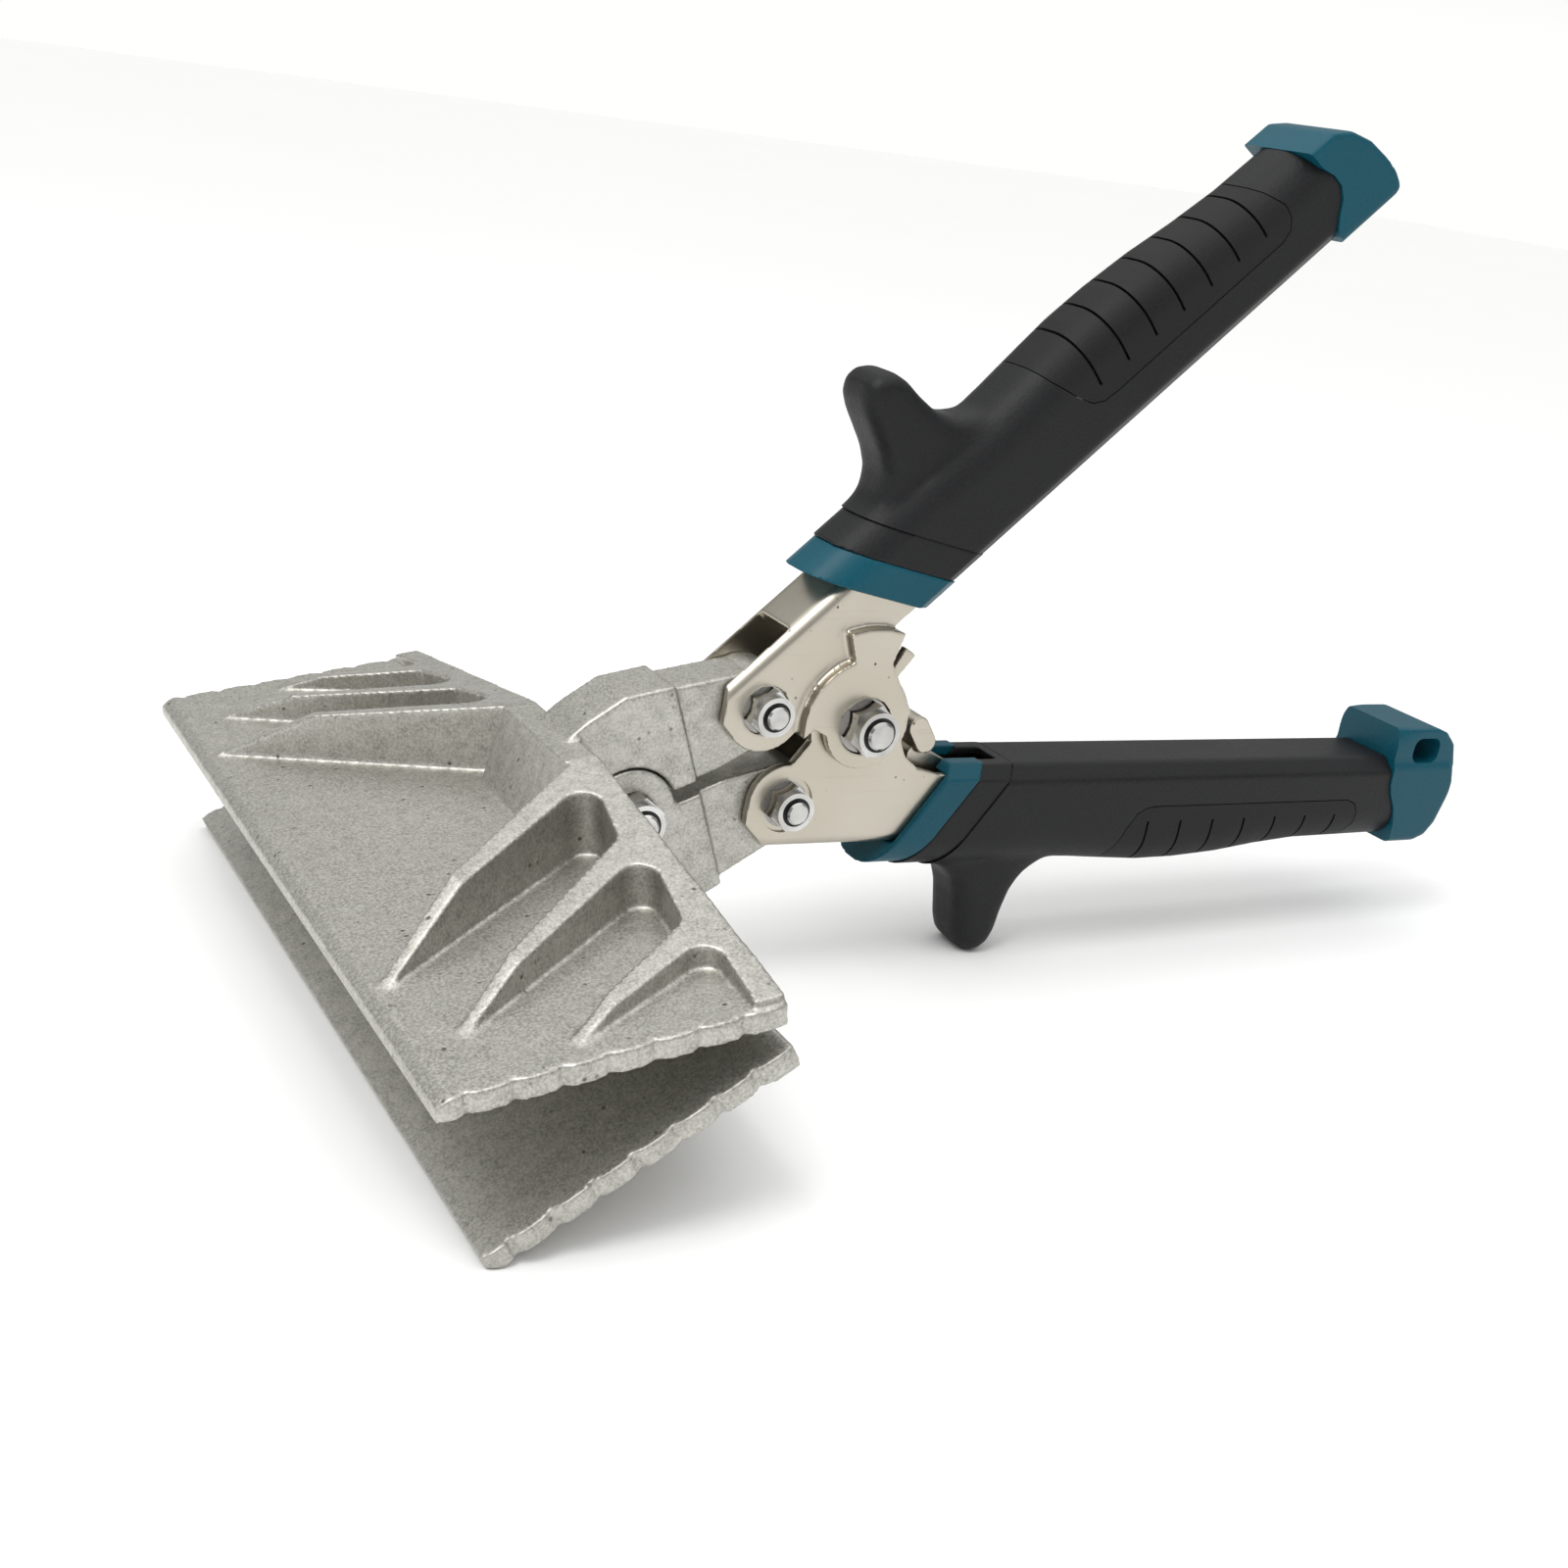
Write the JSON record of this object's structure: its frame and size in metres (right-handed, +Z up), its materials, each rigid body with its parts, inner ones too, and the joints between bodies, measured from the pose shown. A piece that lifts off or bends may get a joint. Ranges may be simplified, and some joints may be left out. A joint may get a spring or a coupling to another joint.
{
  "type": "hand seamer",
  "caption": "Compound-action sheet-metal hand seamer with two wide ribbed cast jaws, sheet-steel handle channels, moulded grips with finger guards, return spring and latch.",
  "frame": {"origin": "centre of the bounding box in plan, on the surface the tool lies on", "axes": "+X from the jaws towards the handles, +Y along the bolts from the nuts to the heads, +Z up"},
  "size_m": [0.2422, 0.1524, 0.1506],
  "materials": {
    "cast_aluminium": "bead-blasted casting",
    "nickel_plated_sheet": "satin nickel plate",
    "bright_zinc": "bright zinc plate",
    "hardened_steel": "plain ground or drawn",
    "nylon": "smooth",
    "charcoal_plastic": "fine spark texture",
    "charcoal_rubber": "fine spark texture",
    "teal_plastic": "semi-matt"
  },
  "bodies": {
    "lower_handle": {"lower_channel": "nickel_plated_sheet", "lower_ferrule": "teal_plastic", "lower_collar": "charcoal_plastic", "lower_grip": "charcoal_plastic", "lower_grip_pad": "charcoal_rubber", "lower_end_cap": "teal_plastic", "handle_pivot_bush": "hardened_steel", "handle_pivot_bolt": "bright_zinc", "handle_pivot_nut": "bright_zinc", "handle_pivot_insert": "nylon", "lower_pin_bush": "hardened_steel", "lower_pin_bolt": "bright_zinc", "lower_pin_nut": "bright_zinc", "lower_pin_insert": "nylon", "return_spring": "hardened_steel", "latch_pin": "nickel_plated_sheet"},
    "upper_handle": {"upper_channel": "nickel_plated_sheet", "upper_ferrule": "teal_plastic", "upper_collar": "charcoal_plastic", "upper_grip": "charcoal_plastic", "upper_grip_pad": "charcoal_rubber", "upper_end_cap": "teal_plastic", "upper_pin_bush": "hardened_steel", "upper_pin_bolt": "bright_zinc", "upper_pin_nut": "bright_zinc", "upper_pin_insert": "nylon", "return_spring_leg": "hardened_steel"},
    "lower_jaw": {"lower_jaw": "cast_aluminium", "jaw_pivot_bush": "hardened_steel", "jaw_pivot_bolt": "bright_zinc", "jaw_pivot_nut": "bright_zinc", "jaw_pivot_insert": "nylon"},
    "upper_jaw": {"upper_jaw": "cast_aluminium"},
    "latch": {"latch_lever": "nickel_plated_sheet"}
  },
  "joints": [
    {"name": "handle_hinge", "type": "hinge", "parent": "lower_handle", "child": "upper_handle", "pos_m": [-0.02413, 0, 0.04689], "axis": [0, 1, 0], "range_deg": [0, 38.8], "stiffness_Nm_per_rad": 0.8, "springref_deg": -34.38},
    {"name": "lower_jaw_hinge", "type": "hinge", "parent": "lower_handle", "child": "lower_jaw", "pos_m": [-0.0363, 0, 0.03269], "axis": [0, 1, 0], "range_deg": [0, 30.49]},
    {"name": "jaw_hinge", "type": "hinge", "parent": "lower_jaw", "child": "upper_jaw", "pos_m": [-0.06449, 0, 0.03175], "axis": [0, 1, 0], "range_deg": [-22.08, 0]},
    {"name": "latch_hinge", "type": "hinge", "parent": "lower_handle", "child": "latch", "pos_m": [0.00004, 0, 0.03368], "axis": [0, 1, 0], "range_deg": [0, 25]}
  ],
  "couplings": [
    {"joint": "lower_jaw_hinge", "follows": "handle_hinge", "ratio": 0.78328},
    {"joint": "jaw_hinge", "follows": "handle_hinge", "ratio": -0.56656}
  ]
}
